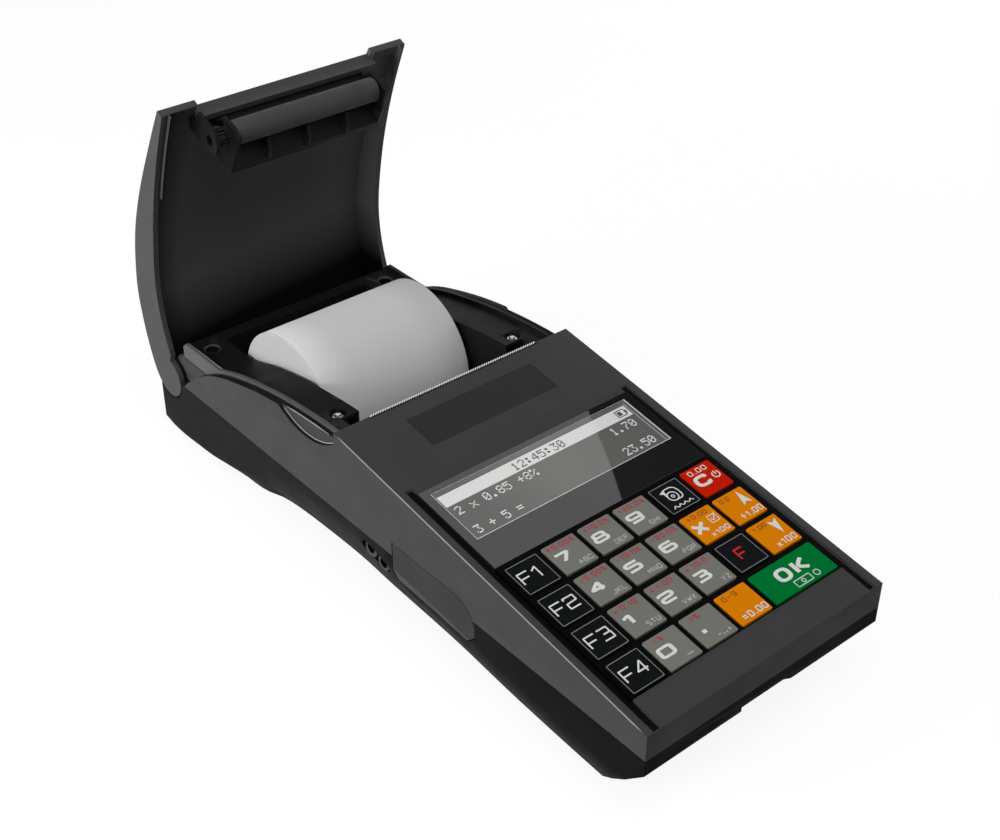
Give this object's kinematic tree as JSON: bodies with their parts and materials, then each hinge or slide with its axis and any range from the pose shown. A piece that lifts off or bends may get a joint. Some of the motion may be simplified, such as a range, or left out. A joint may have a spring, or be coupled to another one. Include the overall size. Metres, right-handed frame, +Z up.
{
  "type": "ticket register",
  "caption": "Portable cash register with a keypad and display in front, and a receipt printer behind under a hinged lid that stands open over the paper roll.",
  "frame": {"origin": "On the table, under the middle of the bounding box, with the lid open.", "axes": "+X to the user's right, +Y from the keypad end to the hinge end, +Z up."},
  "size_m": [0.093, 0.2494, 0.1279],
  "materials": {
    "base_plastic": "fine textured dark grey plastic",
    "case_plastic": "fine textured grey plastic",
    "lid_plastic": "fine textured grey plastic",
    "cover_plastic": "smooth grey plastic",
    "deck_plastic": "satin black plastic",
    "foot_rubber": "matt black rubber",
    "battery_wrap": "blue shrink wrap",
    "screw_steel": "bright zinc plating",
    "display_lens": "polished black window",
    "display_panel": "grey display",
    "bezel_black": "satin black plastic",
    "key_mat": "grey silicone rubber",
    "key_grey": "grey key cap",
    "key_black": "black key cap with a thin grey outline",
    "key_orange": "orange key cap",
    "key_red": "red key cap",
    "key_green": "green key cap",
    "circuit_board": "green circuit board",
    "chip_black": "black module",
    "jack_black": "black plastic with a metal pin",
    "socket_metal": "plated shell",
    "tear_steel": "bright toothed strip",
    "head_metal": "ceramic faced heat sink",
    "spring_steel": "spring steel",
    "gear_plastic": "black gear plastic",
    "pinion_brass": "turned brass",
    "motor_metal": "plated can",
    "frame_steel": "zinc plated sheet",
    "shaft_steel": "ground steel rod",
    "platen_rubber": "dark grey roller rubber",
    "receipt_paper": "white receipt paper, tightly wound",
    "core_card": "wound card tube"
  },
  "bodies": {
    "case": {"lower_case": "base_plastic", "upper_case": "case_plastic", "front_foot_strip": "foot_rubber", "rear_foot_strip": "foot_rubber", "battery_cover": "base_plastic", "battery_pack": "battery_wrap", "printer_deck": "deck_plastic", "deck_screw_left": "screw_steel", "deck_screw_right": "screw_steel", "rear_screw_left": "screw_steel", "rear_screw_right": "screw_steel", "display_lens": "display_lens", "lcd_module": "display_panel", "keypad_bezel": "bezel_black", "rubber_keypad": "key_mat", "main_board": "circuit_board", "memory_module": "chip_black", "power_jack": "jack_black", "data_jack": "jack_black", "service_socket": "socket_metal", "port_board": "circuit_board", "tear_bar": "tear_steel", "print_head": "head_metal", "head_spring": "spring_steel", "stepper_motor": "motor_metal", "mechanism_frame": "frame_steel"},
    "lid": {"lid_shell": "lid_plastic", "hinge_rod": "shaft_steel", "platen_bracket": "deck_plastic"},
    "platen": {"platen_roller": "platen_rubber", "platen_shaft": "shaft_steel", "platen_gear": "gear_plastic"},
    "roll": {"paper_roll": "receipt_paper", "paper_core": "core_card"},
    "idler": {"idler_gear": "gear_plastic"},
    "pinion": {"motor_pinion": "pinion_brass"},
    "port_flap": {"port_cover": "cover_plastic"},
    "key_f1_cap": {"key_f1": "key_black"},
    "key_7_cap": {"key_7": "key_grey"},
    "key_8_cap": {"key_8": "key_grey"},
    "key_9_cap": {"key_9": "key_grey"},
    "key_feed_cap": {"key_feed": "key_black"},
    "key_clear_cap": {"key_clear": "key_red"},
    "key_f2_cap": {"key_f2": "key_black"},
    "key_4_cap": {"key_4": "key_grey"},
    "key_5_cap": {"key_5": "key_grey"},
    "key_6_cap": {"key_6": "key_grey"},
    "key_multiply_cap": {"key_multiply": "key_orange"},
    "key_up_cap": {"key_up": "key_orange"},
    "key_f3_cap": {"key_f3": "key_black"},
    "key_1_cap": {"key_1": "key_grey"},
    "key_2_cap": {"key_2": "key_grey"},
    "key_3_cap": {"key_3": "key_grey"},
    "key_function_cap": {"key_function": "key_black"},
    "key_down_cap": {"key_down": "key_orange"},
    "key_f4_cap": {"key_f4": "key_black"},
    "key_0_cap": {"key_0": "key_grey"},
    "key_decimal_cap": {"key_decimal": "key_grey"},
    "key_subtotal_cap": {"key_subtotal": "key_orange"},
    "key_ok_cap": {"key_ok": "key_green"}
  },
  "joints": [
    {"name": "lid_hinge", "type": "hinge", "parent": "case", "child": "lid", "pos_m": [0, 0.10982, 0.02421], "axis": [1, 0, 0], "range_deg": [0, 65]},
    {"name": "platen_turn", "type": "hinge", "parent": "lid", "child": "platen", "pos_m": [0, 0.08475, 0.11866], "axis": [1, 0, 0], "continuous": true},
    {"name": "roll_turn", "type": "hinge", "parent": "case", "child": "roll", "pos_m": [0, 0.06232, 0.0291], "axis": [1, 0, 0], "continuous": true},
    {"name": "idler_turn", "type": "hinge", "parent": "case", "child": "idler", "pos_m": [-0.0324, 0.0042, 0.03481], "axis": [1, 0, 0], "continuous": true},
    {"name": "pinion_turn", "type": "hinge", "parent": "case", "child": "pinion", "pos_m": [-0.0324, -0.0023, 0.02705], "axis": [1, 0, 0], "continuous": true},
    {"name": "port_flap_hinge", "type": "hinge", "parent": "case", "child": "port_flap", "pos_m": [-0.0455, -0.03727, 0.01471], "axis": [0, -1, 0], "range_deg": [0, 90]},
    {"name": "key_f1_press", "type": "slide", "parent": "case", "child": "key_f1_cap", "axis": [0, 0.1533, -0.9882], "range_m": [0, 0.001], "stiffness_N_per_m": 300},
    {"name": "key_7_press", "type": "slide", "parent": "case", "child": "key_7_cap", "axis": [0, 0.1533, -0.9882], "range_m": [0, 0.001], "stiffness_N_per_m": 300},
    {"name": "key_8_press", "type": "slide", "parent": "case", "child": "key_8_cap", "axis": [0, 0.1533, -0.9882], "range_m": [0, 0.001], "stiffness_N_per_m": 300},
    {"name": "key_9_press", "type": "slide", "parent": "case", "child": "key_9_cap", "axis": [0, 0.1533, -0.9882], "range_m": [0, 0.001], "stiffness_N_per_m": 300},
    {"name": "key_feed_press", "type": "slide", "parent": "case", "child": "key_feed_cap", "axis": [0, 0.1533, -0.9882], "range_m": [0, 0.001], "stiffness_N_per_m": 300},
    {"name": "key_clear_press", "type": "slide", "parent": "case", "child": "key_clear_cap", "axis": [0, 0.1533, -0.9882], "range_m": [0, 0.001], "stiffness_N_per_m": 300},
    {"name": "key_f2_press", "type": "slide", "parent": "case", "child": "key_f2_cap", "axis": [0, 0.1533, -0.9882], "range_m": [0, 0.001], "stiffness_N_per_m": 300},
    {"name": "key_4_press", "type": "slide", "parent": "case", "child": "key_4_cap", "axis": [0, 0.1533, -0.9882], "range_m": [0, 0.001], "stiffness_N_per_m": 300},
    {"name": "key_5_press", "type": "slide", "parent": "case", "child": "key_5_cap", "axis": [0, 0.1533, -0.9882], "range_m": [0, 0.001], "stiffness_N_per_m": 300},
    {"name": "key_6_press", "type": "slide", "parent": "case", "child": "key_6_cap", "axis": [0, 0.1533, -0.9882], "range_m": [0, 0.001], "stiffness_N_per_m": 300},
    {"name": "key_multiply_press", "type": "slide", "parent": "case", "child": "key_multiply_cap", "axis": [0, 0.1533, -0.9882], "range_m": [0, 0.001], "stiffness_N_per_m": 300},
    {"name": "key_up_press", "type": "slide", "parent": "case", "child": "key_up_cap", "axis": [0, 0.1533, -0.9882], "range_m": [0, 0.001], "stiffness_N_per_m": 300},
    {"name": "key_f3_press", "type": "slide", "parent": "case", "child": "key_f3_cap", "axis": [0, 0.1533, -0.9882], "range_m": [0, 0.001], "stiffness_N_per_m": 300},
    {"name": "key_1_press", "type": "slide", "parent": "case", "child": "key_1_cap", "axis": [0, 0.1533, -0.9882], "range_m": [0, 0.001], "stiffness_N_per_m": 300},
    {"name": "key_2_press", "type": "slide", "parent": "case", "child": "key_2_cap", "axis": [0, 0.1533, -0.9882], "range_m": [0, 0.001], "stiffness_N_per_m": 300},
    {"name": "key_3_press", "type": "slide", "parent": "case", "child": "key_3_cap", "axis": [0, 0.1533, -0.9882], "range_m": [0, 0.001], "stiffness_N_per_m": 300},
    {"name": "key_function_press", "type": "slide", "parent": "case", "child": "key_function_cap", "axis": [0, 0.1533, -0.9882], "range_m": [0, 0.001], "stiffness_N_per_m": 300},
    {"name": "key_down_press", "type": "slide", "parent": "case", "child": "key_down_cap", "axis": [0, 0.1533, -0.9882], "range_m": [0, 0.001], "stiffness_N_per_m": 300},
    {"name": "key_f4_press", "type": "slide", "parent": "case", "child": "key_f4_cap", "axis": [0, 0.1533, -0.9882], "range_m": [0, 0.001], "stiffness_N_per_m": 300},
    {"name": "key_0_press", "type": "slide", "parent": "case", "child": "key_0_cap", "axis": [0, 0.1533, -0.9882], "range_m": [0, 0.001], "stiffness_N_per_m": 300},
    {"name": "key_decimal_press", "type": "slide", "parent": "case", "child": "key_decimal_cap", "axis": [0, 0.1533, -0.9882], "range_m": [0, 0.001], "stiffness_N_per_m": 300},
    {"name": "key_subtotal_press", "type": "slide", "parent": "case", "child": "key_subtotal_cap", "axis": [0, 0.1533, -0.9882], "range_m": [0, 0.001], "stiffness_N_per_m": 300},
    {"name": "key_ok_press", "type": "slide", "parent": "case", "child": "key_ok_cap", "axis": [0, 0.1533, -0.9882], "range_m": [0, 0.001], "stiffness_N_per_m": 300}
  ],
  "couplings": [
    {"joint": "idler_turn", "follows": "pinion_turn", "ratio": -0.38889}
  ]
}
